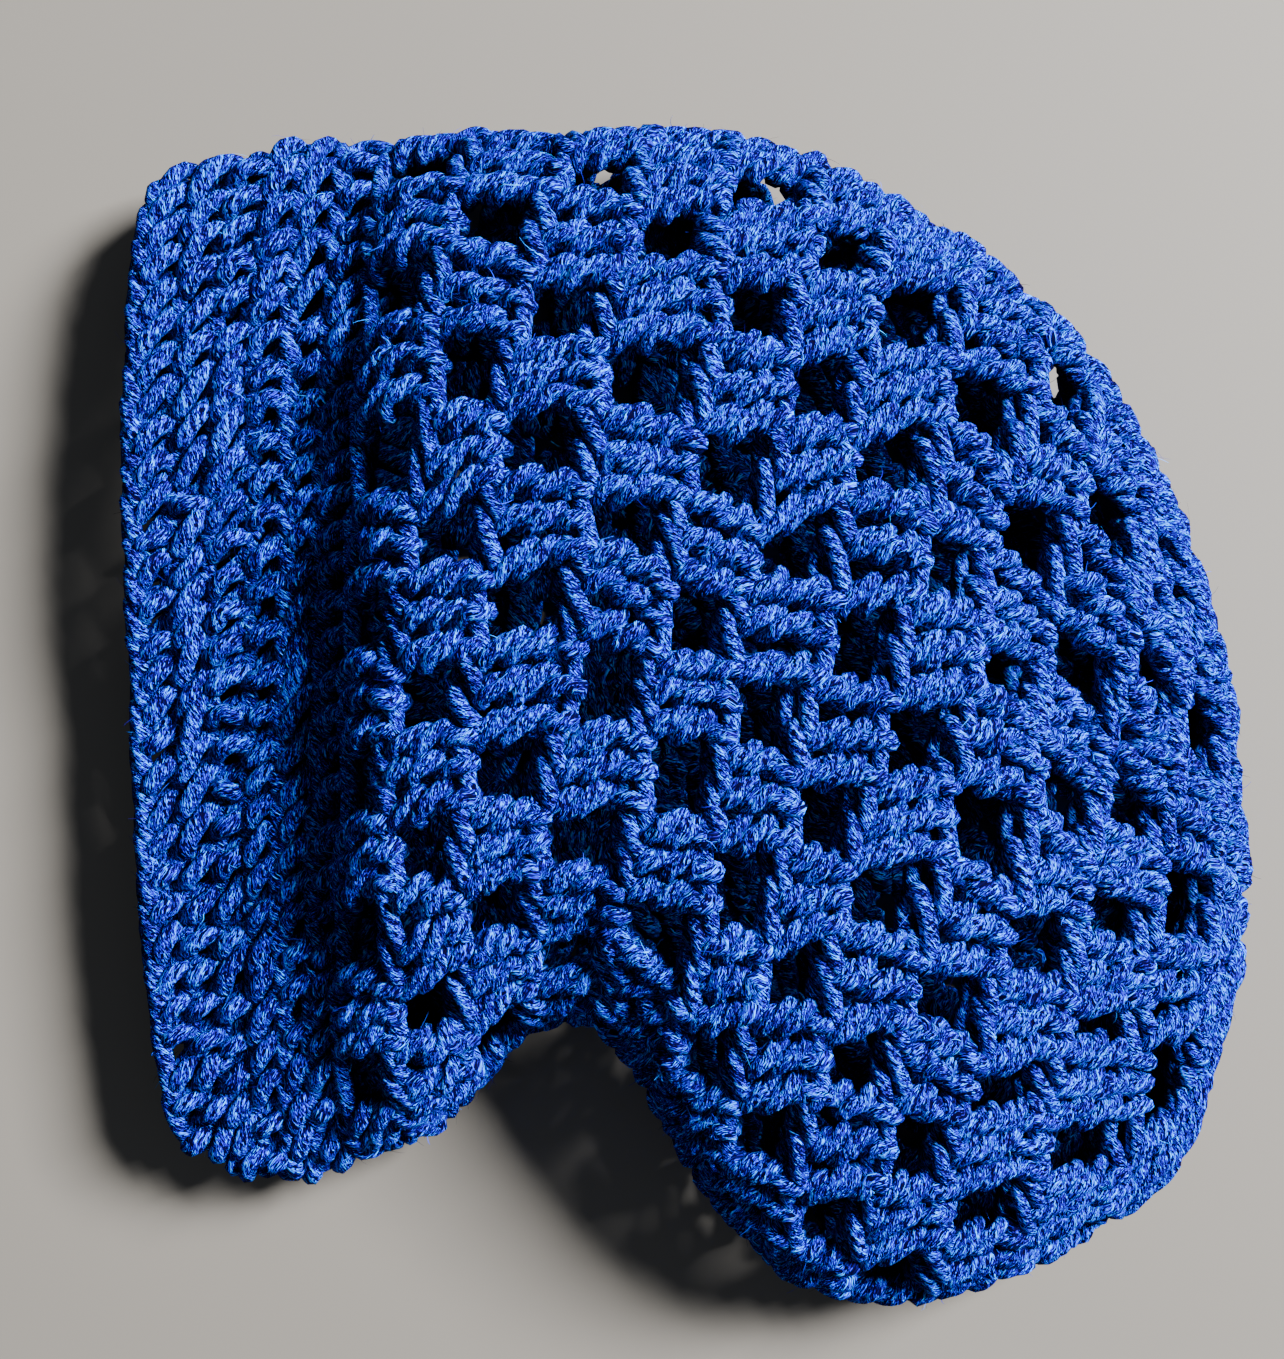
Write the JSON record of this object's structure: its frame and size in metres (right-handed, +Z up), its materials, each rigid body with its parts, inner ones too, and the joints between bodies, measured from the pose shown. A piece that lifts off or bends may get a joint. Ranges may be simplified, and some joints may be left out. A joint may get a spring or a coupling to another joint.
{
  "type": "crochet beanie",
  "caption": "A slouchy crochet beanie in royal blue yarn, lying flat: a close-stitched brim band and an openwork crown of clustered stitches that slumps to one side.",
  "frame": {"origin": "the middle of the hat's outline on the floor that it lies on", "axes": "+Z up from the floor, -X out of the hat's opening, +Y towards the far turned edge, away from the side with the fold"},
  "size_m": [0.256, 0.267, 0.0606],
  "materials": {
    "blue_yarn": "royal blue heather acrylic yarn, matt and slightly fuzzy"
  },
  "bodies": {
    "root": {"brim_band": "blue_yarn", "crown": "blue_yarn"}
  },
  "joints": []
}
